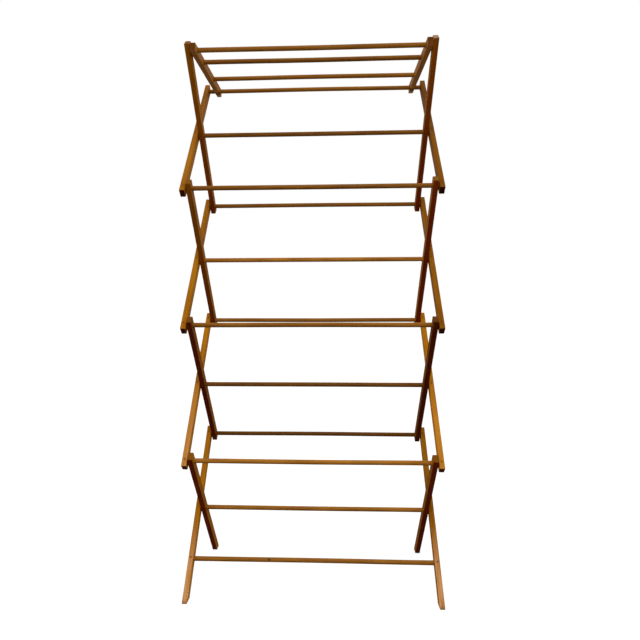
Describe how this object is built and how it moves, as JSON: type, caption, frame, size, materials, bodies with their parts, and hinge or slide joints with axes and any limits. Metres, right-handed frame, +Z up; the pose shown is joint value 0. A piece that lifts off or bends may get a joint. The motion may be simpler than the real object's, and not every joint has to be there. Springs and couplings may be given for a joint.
{
  "type": "folding clothes drying rack",
  "caption": "Folding wooden clothes drying rack: crossed legs joined by round dowels like a lazy tong, with a hooked shelf of dowels on top.",
  "frame": {"origin": "on the floor, in the middle of the width, below the crossing dowels", "axes": "+X to the right seen from the front, +Y to the rear, +Z up"},
  "size_m": [0.69, 0.3584, 1.4843],
  "materials": {
    "leg_wood": "golden oak stain under satin varnish, worn at the feet",
    "dowel_wood": "golden oak stain under satin varnish",
    "brad_steel": "dull, darkened nail heads"
  },
  "bodies": {
    "base_pivot": {"crossing_dowel_4": "dowel_wood"},
    "outer_frame_1": {"outer_leg_left_1": "leg_wood", "outer_leg_right_1": "leg_wood", "top_rear_dowel": "dowel_wood", "crossing_dowel_1": "dowel_wood", "front_dowel_1": "dowel_wood", "brads_outer_1": "brad_steel"},
    "inner_frame_1": {"inner_leg_left_1": "leg_wood", "inner_leg_right_1": "leg_wood"},
    "outer_frame_2": {"outer_leg_left_2": "leg_wood", "outer_leg_right_2": "leg_wood", "rear_dowel_1": "dowel_wood", "crossing_dowel_2": "dowel_wood", "front_dowel_2": "dowel_wood", "brads_outer_2": "brad_steel"},
    "inner_frame_2": {"inner_leg_left_2": "leg_wood", "inner_leg_right_2": "leg_wood"},
    "outer_frame_3": {"outer_leg_left_3": "leg_wood", "outer_leg_right_3": "leg_wood", "rear_dowel_2": "dowel_wood", "crossing_dowel_3": "dowel_wood", "front_dowel_3": "dowel_wood", "brads_outer_3": "brad_steel"},
    "inner_frame_3": {"inner_leg_left_3": "leg_wood", "inner_leg_right_3": "leg_wood"},
    "outer_frame_4": {"outer_leg_left_4": "leg_wood", "outer_leg_right_4": "leg_wood", "rear_dowel_3": "dowel_wood", "foot_dowel": "dowel_wood", "brads_outer_4": "brad_steel"},
    "inner_frame_4": {"inner_leg_left_4": "leg_wood", "inner_leg_right_4": "leg_wood"},
    "top_pivot": {"top_front_dowel": "dowel_wood"},
    "shelf": {"shelf_arm_left": "leg_wood", "shelf_arm_right": "leg_wood", "shelf_dowel_1": "dowel_wood", "shelf_dowel_2": "dowel_wood", "brads_shelf": "brad_steel"}
  },
  "joints": [
    {"name": "fold", "type": "hinge", "parent": "base_pivot", "child": "outer_frame_4", "pos_m": [0, 0, 0.19391], "axis": [1, 0, 0], "range_deg": [0, 35.5]},
    {"name": "inner_turn_4", "type": "hinge", "parent": "base_pivot", "child": "inner_frame_4", "pos_m": [0, 0, 0.19391], "axis": [1, 0, 0], "range_deg": [-35.5, 0]},
    {"name": "front_joint_3", "type": "hinge", "parent": "inner_frame_4", "child": "outer_frame_3", "pos_m": [0, -0.14979, 0.37498], "axis": [1, 0, 0], "range_deg": [0, 71]},
    {"name": "crossing_3", "type": "hinge", "parent": "outer_frame_3", "child": "inner_frame_3", "pos_m": [0, 0, 0.55605], "axis": [1, 0, 0], "range_deg": [-71, 0]},
    {"name": "front_joint_2", "type": "hinge", "parent": "inner_frame_3", "child": "outer_frame_2", "pos_m": [0, -0.14979, 0.73712], "axis": [1, 0, 0], "range_deg": [0, 71]},
    {"name": "crossing_2", "type": "hinge", "parent": "outer_frame_2", "child": "inner_frame_2", "pos_m": [0, 0, 0.91819], "axis": [1, 0, 0], "range_deg": [-71, 0]},
    {"name": "front_joint_1", "type": "hinge", "parent": "inner_frame_2", "child": "outer_frame_1", "pos_m": [0, -0.14979, 1.09926], "axis": [1, 0, 0], "range_deg": [0, 71]},
    {"name": "crossing_1", "type": "hinge", "parent": "outer_frame_1", "child": "inner_frame_1", "pos_m": [0, 0, 1.28033], "axis": [1, 0, 0], "range_deg": [-71, 0]},
    {"name": "shelf_lift", "type": "hinge", "parent": "inner_frame_1", "child": "top_pivot", "pos_m": [0, -0.14979, 1.4614], "axis": [1, 0, 0], "range_deg": [0, 180]},
    {"name": "hook_release", "type": "hinge", "parent": "top_pivot", "child": "shelf", "pos_m": [0, -0.14979, 1.4614], "axis": [1, 0, 0], "range_deg": [0, 123.19]}
  ],
  "couplings": [
    {"joint": "inner_turn_4", "follows": "fold", "ratio": -1},
    {"joint": "front_joint_3", "follows": "fold", "ratio": 2},
    {"joint": "crossing_3", "follows": "fold", "ratio": -2},
    {"joint": "front_joint_2", "follows": "fold", "ratio": 2},
    {"joint": "crossing_2", "follows": "fold", "ratio": -2},
    {"joint": "front_joint_1", "follows": "fold", "ratio": 2},
    {"joint": "crossing_1", "follows": "fold", "ratio": -2},
    {"joint": "hook_release", "follows": "fold", "ratio": 3.47}
  ]
}
